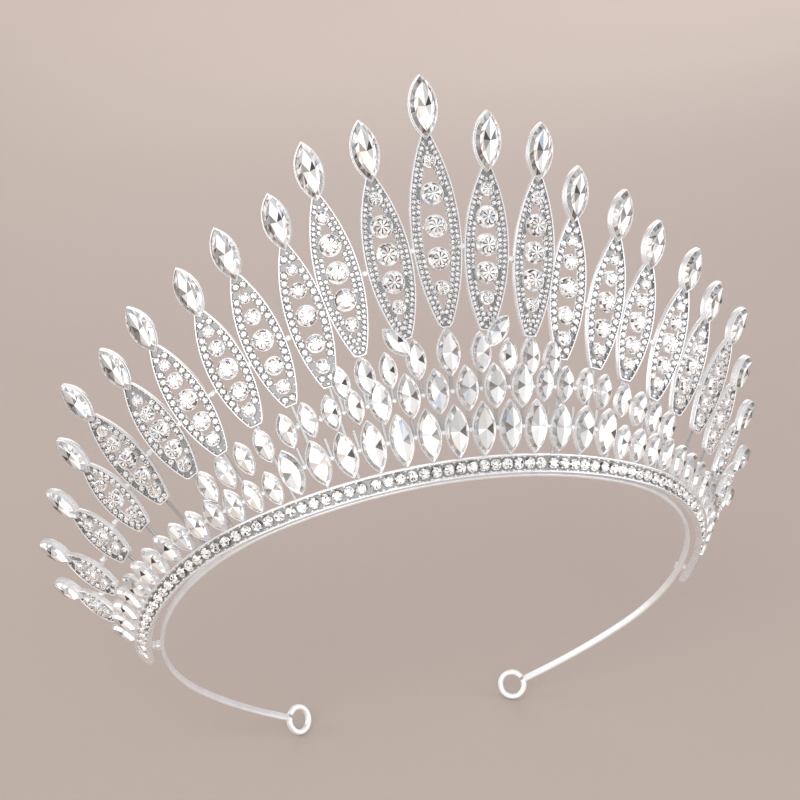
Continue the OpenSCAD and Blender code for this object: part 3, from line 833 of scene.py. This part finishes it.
class TIARA_OT_stone_rows(bpy.types.Operator):
    """Build the three rows of navette stones in their cups"""

    bl_idname = "tiara.stone_rows"
    bl_label = "Navette rows"

    def execute(self, context):
        rng = random.Random(context.scene.tiara.seed + 1)
        for word, row in (("1", row_one()), ("2", row_two()), ("3", row_three())):
            cups, stones = Piece(), Piece()
            spots = [(crown.spot(s, h, lean), size) for s, h, lean, size in both_sides(row)]
            if word == "3":
                spots += self.aside()
            for place, (length, width) in spots:
                jitter = turn_z(rng.uniform(-0.02, 0.02)) @ turn_y(rng.uniform(-0.03, 0.03))
                cup(cups, length, width, place)
                navette(stones, rng, length, width, 0.24, CUP_H - 0.25, 1.15, place @ jitter)
            cups.object("cups row " + word, "cups_row_" + word, finish_of("cast_metal"), "cast_metal", 35)
            stones.object("navettes row " + word, "navettes_row_" + word, finish_of("crystal"), "crystal", 0)
        return {"FINISHED"}

    def aside(self):
        """Leaning stones between the middle petals."""
        out = []
        for s, h, lean in ((9.9, 33.6, 36),):
            for side in (1, -1):
                place = crown.spot(side * s, h, 0, 0.9) @ turn_z(-side * math.radians(lean))
                out.append((place, (9.2, 9.2 * 0.49)))
        return out


class TIARA_OT_lattice_bars(bpy.types.Operator):
    """Build the beads and bars that tie the rows together"""

    bl_idname = "tiara.lattice_bars"
    bl_label = "Lattice bars"

    def execute(self, context):
        piece = Piece()
        # painted shade on the bars; the pins and their heads keep the full tone
        piece.tone = BAR_PAINTED_SHADE
        for side in (1, -1):
            for i in range(6):
                s = side * (6 * i + 3)
                lean = s * math.radians(FAN)
                self.post(piece, crown.spot(s, 11, lean), 0.65)
                piece.block((0.8, 5, 0.45), crown.spot(s, 13.5, lean), 0.1)
            for i in range(13):
                s = side * (43.56 + 4.72 * i)
                self.post(piece, crown.spot(s, 8.7, s * math.radians(FAN)), 0.55)
            for s in (0, 5.9, 11.7, 17, 21.7, 26.35, 31):
                if s == 0 and side < 0:
                    continue
                place = crown.spot(side * s, 20.4, side * s * math.radians(FAN))
                self.post(piece, place, 0.6)
                length = 5 if s < 22 else 1
                piece.block((0.8, length, 0.45), place @ shift(0, length / 2, 0), 0.1)
            for k in range(3, 13):
                low, high = STRIP_W - 0.4, PETAL_FOOT[k] + 1.2
                lean = side * math.radians(PETAL_LEAN[k])
                place = crown.spot(side * PETAL_S[k], (low + high) / 2, lean)
                piece.block((0.8, high - low, 0.45), place, 0.1)
        piece.object("lattice bars", "lattice_bars", finish_of("cast_metal"), "cast_metal", 35)
        return {"FINISHED"}

    def post(self, piece, place, radius):
        """Short pin with a bright domed head."""
        piece.tone = 1.0
        piece.wall(lambda q: ring(radius - q, 12), [(0.08, 0), (0, 0.1), (0, 1.0)], place, floor=True)
        piece.bead(radius, place @ shift(0, 0, 0.98), 0.7, 12)
        # back to the painted shade of the bars
        piece.tone = BAR_PAINTED_SHADE


# ---------------------------------------------------------------- petals


class Petal:
    """Sizes and places of petal k."""

    def __init__(self, k, side=1):
        self.k, self.side = k, side
        self.top = TOP_L - TOP_STEP * k
        self.width = PETAL_W[k]
        self.length = PETAL_TIP[k] - self.top - PETAL_FOOT[k] + UNDER + FOOT_CUT
        self.middle = PETAL_FOOT[k] - FOOT_CUT + self.length / 2
        self.double = k <= 2
        self.border = 2.8 if self.double else 2.25 - 0.03 * k
        self.arc = (self.length ** 2 + self.width ** 2) / (4 * self.width)

    def place(self, h=0.0, x=0.0, out=0.0):
        lean = self.side * math.radians(PETAL_LEAN[self.k])
        return crown.spot(self.side * PETAL_S[self.k], 0, lean) @ shift(x, h, out)

    def outline(self, inset, n=26):
        """Pointed loop with its lower point cut off."""
        low = FOOT_CUT - self.length / 2 + inset
        return [(x, max(y, low)) for x, y in pointed(self.length, self.width, inset, n)]

    def half(self, y):
        return math.sqrt(max(0.0, self.arc ** 2 - y * y)) - self.arc + self.width / 2

    def column(self):
        """(offset from the middle, diameter) of the round stones inside the petal."""
        late = self.k - 9
        if self.double:
            rows = ((0.33, 3), (0.18, ROUND_BIG), (0.03, ROUND_BIG), (-0.12, ROUND_BIG), (-0.255, 3))
        elif self.k <= 8:
            rows = ((0.295, 2.4), (0.17, 3.5), (0.015, ROUND_BIG - 0.25), (-0.155, 4.1), (-0.295, 3.1))
        else:
            rows = ((0.2, 2.9 - 0.2 * late), (0, 4.2 - 0.3 * late), (-0.2, 3 - 0.2 * late))
        return [(self.length * share, d) for share, d in rows]

    def line(self, inset, pitch, half_step=False):
        """Points (x, y) at even steps along the border, inset from its edge, right side."""
        r = self.arc - inset
        c = self.arc - self.width / 2
        n = math.floor(math.acos(c / r) / (pitch / r) - 0.35)
        shift_by = 0.5 if half_step else 0.0
        out = []
        for i in range(-n, n + (0 if half_step else 1)):
            t = (i + shift_by) * pitch / r
            out.append((r * math.cos(t) - c, r * math.sin(t)))
        return out

    def free(self, x, y, d):
        """True where a border stone of diameter d clears the round stones, the cup and the foot."""
        if any(math.hypot(x, y - cy) < (cd + d) / 2 + 0.1 for cy, cd in self.column()):
            return False
        edge = self.length / 2 - UNDER - 0.5
        if y > edge and x <= d / 2 + (y - edge) * 0.55 + 0.5:
            return False
        return y > FOOT_CUT - self.length / 2 + d / 2

    def pave(self):
        """(x, y, diameter) of the small border stones, right and left."""
        if self.double:
            rows = ((RIM_T + 0.6, PAVE_SMALL, 1.26), (RIM_T + 1.83, PAVE_SMALL, 1.26))
        else:
            rows = ((RIM_T + 0.92, PAVE_LARGE - 0.02 * self.k, 1.9 - 0.02 * self.k),)
        out = []
        for inset, d, pitch in rows:
            for x, y in self.line(inset, pitch):
                if self.free(x, y, d - 0.05):
                    out += [(x, y, d), (-x, y, d)]
        return out


class TIARA_OT_petals(bpy.types.Operator):
    """Build the 25 petals: border, rim, stone seats and top cup"""

    bl_idname = "tiara.petals"
    bl_label = "Petals"

    def execute(self, context):
        for k in range(13):
            for side, word in ((1, "right"), (-1, "left")) if k else ((1, ""),):
                node = f"petal_{word}_{k}" if k else "petal_0"
                piece = self.metalwork(Petal(k, side))
                piece.object(node.replace("_", " "), node, finish_of("cast_metal"), "cast_metal", 35)
        return {"FINISHED"}

    def metalwork(self, petal):
        piece = Piece()
        base = petal.place(petal.middle)
        b = petal.border
        profile = [(0.06, 0), (0, 0.08), (0, RIM_H - 0.1), (0.06, RIM_H), (RIM_T - 0.08, RIM_H),
                   (RIM_T, RIM_H - 0.1), (RIM_T + 0.04, PLATE_T - 0.08), (b - 0.1, PLATE_T - 0.08),
                   (b, PLATE_T - 0.18), (b, 0.08), (b - 0.08, 0)]
        # painted shade: the inner rim wall and the plate inside the rim are darkened
        piece.wall(petal.outline, profile, base, deep=lambda row, column: row in (5, 6))
        # painted shade: the collars round the small border stones are darkened between the stones
        piece.tone = PAINTED_RECESS_SHADE + 0.1
        for x, y, d in petal.pave():
            self.seat(piece, petal.place(petal.middle + y, x, PLATE_T - 0.1), d * 0.56, 0.42)
        # back to the unshaded tone
        piece.tone = 1.0
        self.beads(piece, petal)
        self.end_grains(piece, petal)
        for y, d in petal.column():
            self.basket(piece, petal, y, d)
        length = petal.top
        cup_place = petal.place(PETAL_TIP[petal.k] - length / 2)
        self.top_cup(piece, length, length * TOP_RATIO, cup_place)
        return piece

    def seat(self, piece, place, radius, height):
        """Low collar round a small stone."""
        profile = [(0, 0), (0, height - 0.1), (0.06, height), (0.12, height - 0.02), (0.16, height - 0.16)]
        piece.wall(lambda q: ring(radius - q, 12), profile, place, floor=True)

    def beads(self, piece, petal):
        """Grains of metal pressed over the edges of the small stones."""
        pitch = 1.26 if petal.double else 1.9 - 0.02 * petal.k
        lines = (RIM_T + 0.1, RIM_T + 1.22, RIM_T + 2.3) if petal.double else (RIM_T + 0.18, RIM_T + 1.66)
        size = 0.2 if petal.double else 0.26
        for inset in lines:
            for x, y in petal.line(inset, pitch, True):
                if petal.free(x, y, 0.1):
                    for side in (-1, 1):
                        spot = petal.place(petal.middle + y, side * x, PLATE_T + 0.12)
                        piece.bead(size, spot, 1.3, 7)

    def end_grains(self, piece, petal):
        """Larger grains where the two sides of the border meet, at the foot and under the cup."""
        stones = [(0, y, d) for y, d in petal.column()] + petal.pave()
        low, high = FOOT_CUT - petal.length / 2, petal.length / 2 - UNDER - 0.4
        y = low + 0.9
        while y < high:
            if petal.half(y) < petal.border + 0.5:
                if all(math.hypot(x, y - sy) > d / 2 + 0.42 for x, sy, d in stones):
                    piece.bead(0.5, petal.place(petal.middle + y, 0, PLATE_T - 0.05), 1.1, 10)
            y += 1.05

    def basket(self, piece, petal, y, d):
        """Round seat with claws, tied to the border on both sides."""
        r = d / 2
        place = petal.place(petal.middle + y)
        profile = [(0.1, 0.1), (0, 0.2), (0, 1.5), (0.06, 1.6), (0.14, 1.56), (0.2, 1.3)]
        piece.wall(lambda q: ring(r + 0.2 - q, 28), profile, place, floor=True)
        claws = 6 if d > 3.2 else 4
        for i in range(claws):
            t = math.pi / claws + 2 * math.pi / claws * i
            claw = place @ turn_z(t) @ shift(r - 0.02, 0, 0)
            piece.block((0.4, 0.46, 1.62), claw @ shift(0.05, 0, 0.1), 0.12)
            piece.bead(0.25, claw @ shift(-0.06, 0, 1.66), 0.9, 8)
        reach = petal.half(y) - 0.8
        piece.block((2 * reach, 0.7, 0.55), place, 0.1)

    def top_cup(self, piece, l, w, place):
        """Stepped cup of the stone at the tip."""
        profile = [(0.1, 0), (0, 0.12), (0, 1.05), (0.04, 1.18), (0.12, 1.2), (0.18, 1.1), (0.2, 1.14),
                   (0.2, 1.85), (0.24, 2.0), (0.32, 2.02), (0.4, 1.9), (0.44, 1.5), (0.46, 0.9)]
        piece.wall(lambda q: pointed(l, w, q, 22), profile, place, floor=True)


class TIARA_OT_petal_links(bpy.types.Operator):
    """Build the bars with a bead between neighbouring petals"""

    bl_idname = "tiara.petal_links"
    bl_label = "Petal links"

    def execute(self, context):
        piece = Piece()
        for k in range(12):
            if not LINK_L[k]:
                continue
            h = (Petal(k).middle + Petal(k + 1).middle) / 2 - (1.2 if k < 3 else 2)
            for side in (1, -1):
                lean = side * math.radians((PETAL_LEAN[k] + PETAL_LEAN[k + 1]) / 2)
                place = crown.spot(side * (PETAL_S[k] + PETAL_S[k + 1]) / 2, h, lean, 0.05)
                piece.block((LINK_L[k], 1, 0.7), place, 0.2)
                piece.wall(lambda q: ring(0.75 - q, 14), [(0, 0), (0, 0.95)], place, floor=True)
                piece.bead(0.75, place @ shift(0, 0, 0.95), 0.7, 14)
        piece.object("petal links", "petal_links", finish_of("cast_metal"), "cast_metal", 35)
        return {"FINISHED"}


class TIARA_OT_petal_stones(bpy.types.Operator):
    """Set the top navettes, the round stones and the small border stones"""

    bl_idname = "tiara.petal_stones"
    bl_label = "Petal stones"

    def execute(self, context):
        rng = random.Random(context.scene.tiara.seed + 2)
        glass = finish_of("crystal")
        groups = {name: Piece() for name in (
            "top_navettes", "large_round_stones", "small_round_stones", "pave_centre",
            "pave_left_inner", "pave_right_inner", "pave_left_outer", "pave_right_outer")}
        for k in range(13):
            for side, word in ((1, "right"), (-1, "left")) if k else ((1, "centre"),):
                petal = Petal(k, side)
                self.top(groups["top_navettes"], rng, petal)
                for y, d in petal.column():
                    name = "large_round_stones" if d > 3.05 else "small_round_stones"
                    brilliant(groups[name], rng, d, 1.25, petal.place(petal.middle + y), 8, 0.28, d > 2.2)
                part = word if k == 0 else word + ("_inner" if k <= 4 else "_outer")
                for x, y, d in petal.pave():
                    place = petal.place(petal.middle + y, x)
                    brilliant(groups["pave_" + part], rng, d, PLATE_T + 0.08, place, 6 if k <= 2 else 8)
        for name, piece in groups.items():
            piece.object(name.replace("_", " "), name, glass, "crystal", 0)
        return {"FINISHED"}

    def top(self, piece, rng, petal):
        l = petal.top
        place = petal.place(PETAL_TIP[petal.k] - l / 2)
        tip = turn_y(rng.uniform(-0.03, 0.03)) @ turn_x(rng.uniform(-0.02, 0.02))
        great_navette(piece, rng, l, l * TOP_RATIO, 0.34, 1.8, 1.5, place @ tip)


# ---------------------------------------------------------------- stage


class TIARA_OT_stage(bpy.types.Operator):
    """Set up the floor, the soft lamps and the camera"""

    bl_idname = "tiara.stage"
    bl_label = "Stage"

    def execute(self, context):
        settings = context.scene.tiara
        floor = self.sweep(settings)
        lamps = [
            self.lamp("key lamp", (-0.5, -1.0, 0.75), 1.3, settings.lamp_power, (1.0, 0.985, 0.96)),
            self.lamp("side lamp", (0.95, -0.5, 0.45), 0.9, settings.lamp_power * 0.4, (0.95, 0.97, 1.0)),
            self.lamp("back lamp", (0.25, 1.0, 0.45), 1.0, settings.lamp_power * 0.4, (1.0, 1.0, 1.0)),
            self.lamp("left fill", (-1.0, 0.45, 0.4), 0.9, settings.lamp_power * 0.35, (1.0, 1.0, 1.0)),
        ]
        self.sky(context)
        self.camera(context)
        return {"FINISHED"}

    def sweep(self, settings):
        """Floor that curves up into the backdrop far behind."""
        low = cad_box[0][2]
        rows = []
        for y, z in [(-6000, 0), (900, 0)] + [
                (900 + 500 * math.sin(math.radians(a)), 500 - 500 * math.cos(math.radians(a)))
                for a in range(6, 91, 6)] + [(1400, 2600)]:
            rows.append([(x, y, z + low / MM) for x in (6000, -6000)])
        verts = [p for row in rows for p in row]
        faces = [(2 * i, 2 * i + 2, 2 * i + 3, 2 * i + 1) for i in range(len(rows) - 1)]
        mesh = bpy.data.meshes.new("studio sweep")
        mesh.from_pydata([[c * MM for c in v] for v in verts], [], faces)
        mesh.materials.append(paper("pale studio board", tuple(settings.floor_colour), 3.0))
        mesh.shade_smooth()
        made = bpy.data.objects.new("studio sweep", mesh)
        bpy.context.scene.collection.objects.link(made)
        return made

    def lamp(self, name, where, size, power, colour):
        data = bpy.data.lights.new(name, "AREA")
        data.shape = "SQUARE"
        data.size, data.energy, data.color = size, power, colour
        made = bpy.data.objects.new(name, data)
        made.location = where
        aim = Matrix.Translation((0, 0, 0.1)).to_translation() - made.location
        made.rotation_euler = aim.to_track_quat("-Z", "Y").to_euler()
        bpy.context.scene.collection.objects.link(made)
        return made

    def sky(self, context):
        world = bpy.data.worlds.new("soft studio")
        world.use_nodes = True
        back = world.node_tree.nodes["Background"]
        back.inputs["Color"].default_value = (0.99, 0.985, 1.0, 1.0)
        back.inputs["Strength"].default_value = 0.68
        context.scene.world = world
        context.scene.view_settings.view_transform = "Standard"

    def camera(self, context):
        data = bpy.data.cameras.new("product camera")
        data.lens, data.sensor_width = 72.0, 36.0
        data.clip_start, data.clip_end = 0.01, 20.0
        made = bpy.data.objects.new("product camera", data)
        where = crown.worn @ CAMERA_PLACE
        right = crown.worn @ CAMERA_RIGHT
        ahead = crown.worn @ CAMERA_AHEAD
        up = crown.worn @ CAMERA_UP
        grid = np.identity(4)
        grid[:3, 0], grid[:3, 1], grid[:3, 2] = right[:3], up[:3], -ahead[:3]
        grid[:3, 3] = where[:3] * MM
        made.matrix_world = Matrix(grid.tolist())
        context.scene.collection.objects.link(made)
        context.scene.camera = made


# ---------------------------------------------------------------- panel and start


class TIARA_PT_panel(bpy.types.Panel):
    """Buttons for each group of pieces"""

    bl_idname = "TIARA_PT_panel"
    bl_label = "Bridal tiara"
    bl_space_type = "VIEW_3D"
    bl_region_type = "UI"
    bl_category = "Tiara"

    def draw(self, context):
        settings = context.scene.tiara
        for name in TiaraSettings.__annotations__:
            self.layout.prop(settings, name)
        for operator in OPERATORS:
            self.layout.operator(operator.bl_idname)


OPERATORS = (
    TIARA_OT_base_strip,
    TIARA_OT_strip_stones,
    TIARA_OT_headband,
    TIARA_OT_stone_rows,
    TIARA_OT_lattice_bars,
    TIARA_OT_petals,
    TIARA_OT_petal_links,
    TIARA_OT_petal_stones,
    TIARA_OT_stage,
)
CLASSES = (TiaraSettings,) + OPERATORS + (TIARA_PT_panel,)


def register():
    for item in CLASSES:
        bpy.utils.register_class(item)
    bpy.types.Scene.tiara = PointerProperty(type=TiaraSettings)


def unregister():
    del bpy.types.Scene.tiara
    for item in reversed(CLASSES):
        bpy.utils.unregister_class(item)


def main():
    register()
    bpy.ops.tiara.base_strip()
    bpy.ops.tiara.strip_stones()
    bpy.ops.tiara.headband()
    bpy.ops.tiara.stone_rows()
    bpy.ops.tiara.lattice_bars()
    bpy.ops.tiara.petals()
    bpy.ops.tiara.petal_links()
    bpy.ops.tiara.petal_stones()
    bpy.ops.tiara.stage()
    bpy.context.view_layer.update()


if __name__ == "__main__":
    main()
